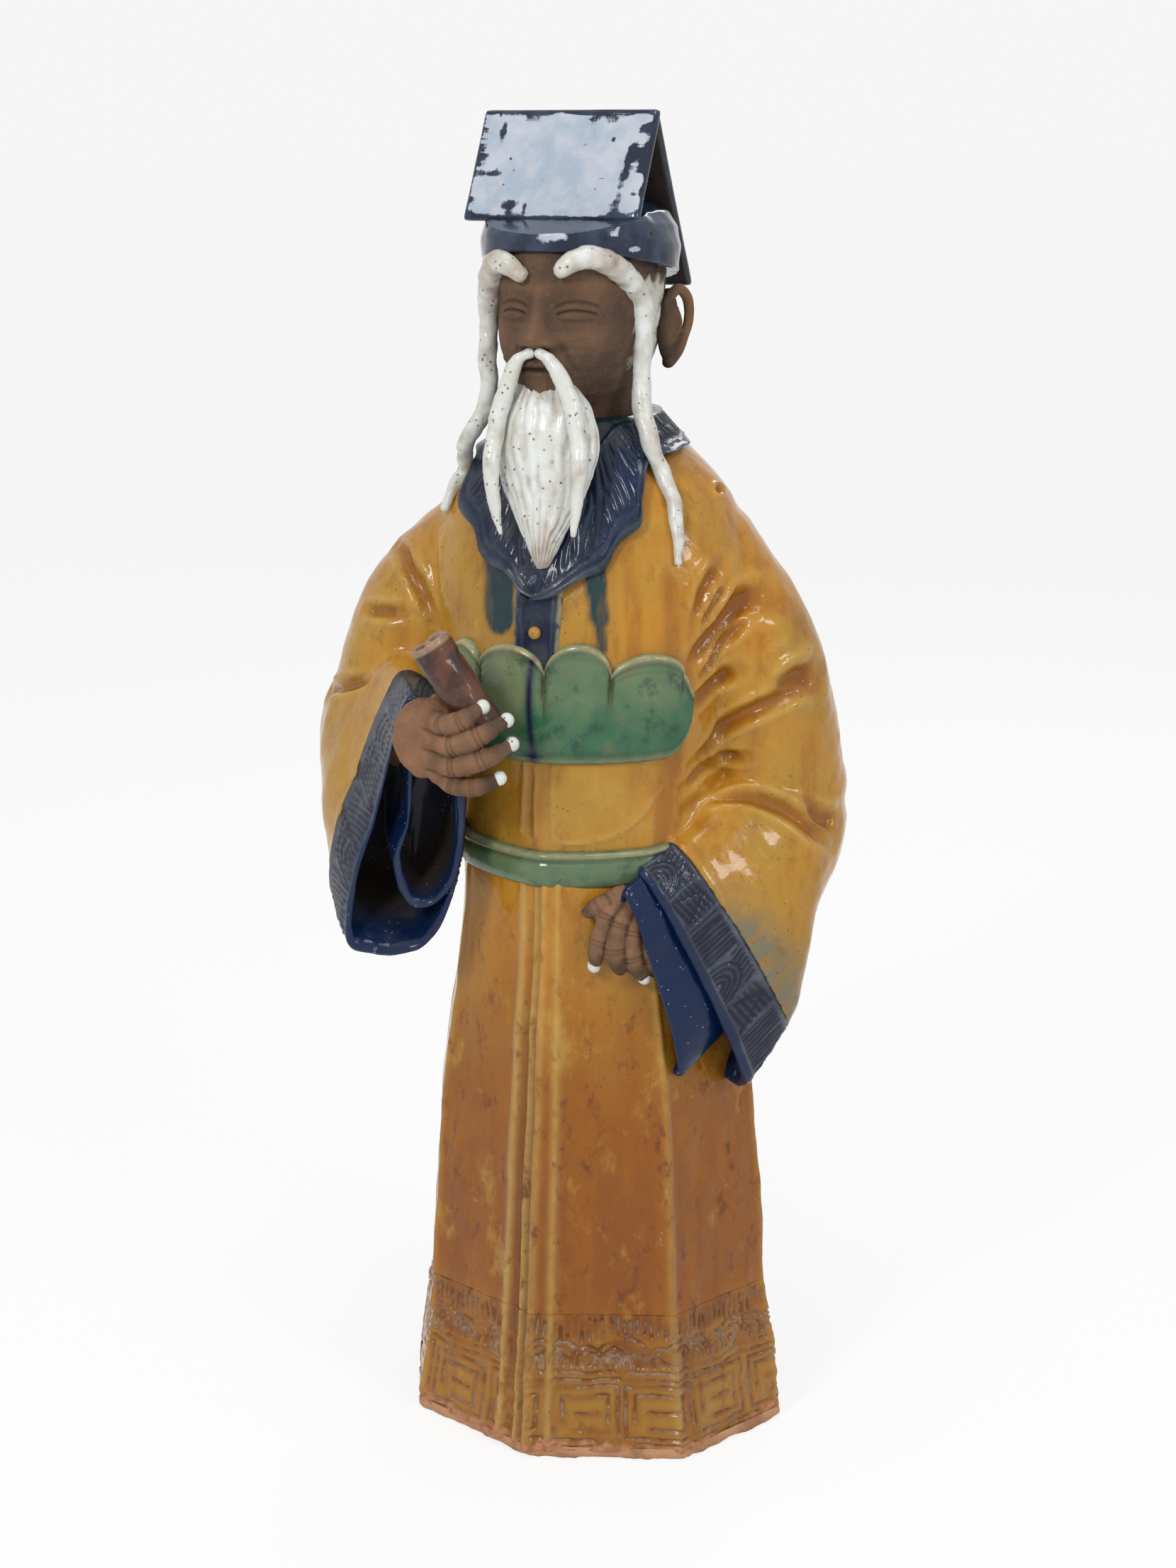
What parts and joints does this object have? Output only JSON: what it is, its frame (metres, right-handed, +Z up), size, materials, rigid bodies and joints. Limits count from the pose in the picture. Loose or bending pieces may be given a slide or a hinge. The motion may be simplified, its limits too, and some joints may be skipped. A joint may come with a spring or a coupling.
{
  "type": "pottery sage figure",
  "caption": "Glazed stoneware figure of a standing bearded sage in a long robe with wide sleeves and a ridged hat, holding a rolled scroll; hollow and open underneath.",
  "frame": {"origin": "middle of the figure's box in X and Y, on the plane of the foot ring that it stands on", "axes": "+Z up, the figure faces -Y, its own left arm is on the +X side"},
  "size_m": [0.2564, 0.2102, 0.6402],
  "materials": {
    "yellow_glaze": "glossy amber glaze over carved clay",
    "brown_glaze": "glossy orange-brown glaze",
    "green_glaze": "glossy green glaze",
    "blue_glaze": "glossy dark blue glaze with a pale film",
    "white_glaze": "satin white slip with brown specks",
    "bare_clay": "matt sandy unglazed clay",
    "terracotta": "rough unglazed foot rim"
  },
  "bodies": {
    "root": {"sage_figure": "yellow_glaze"}
  },
  "joints": []
}
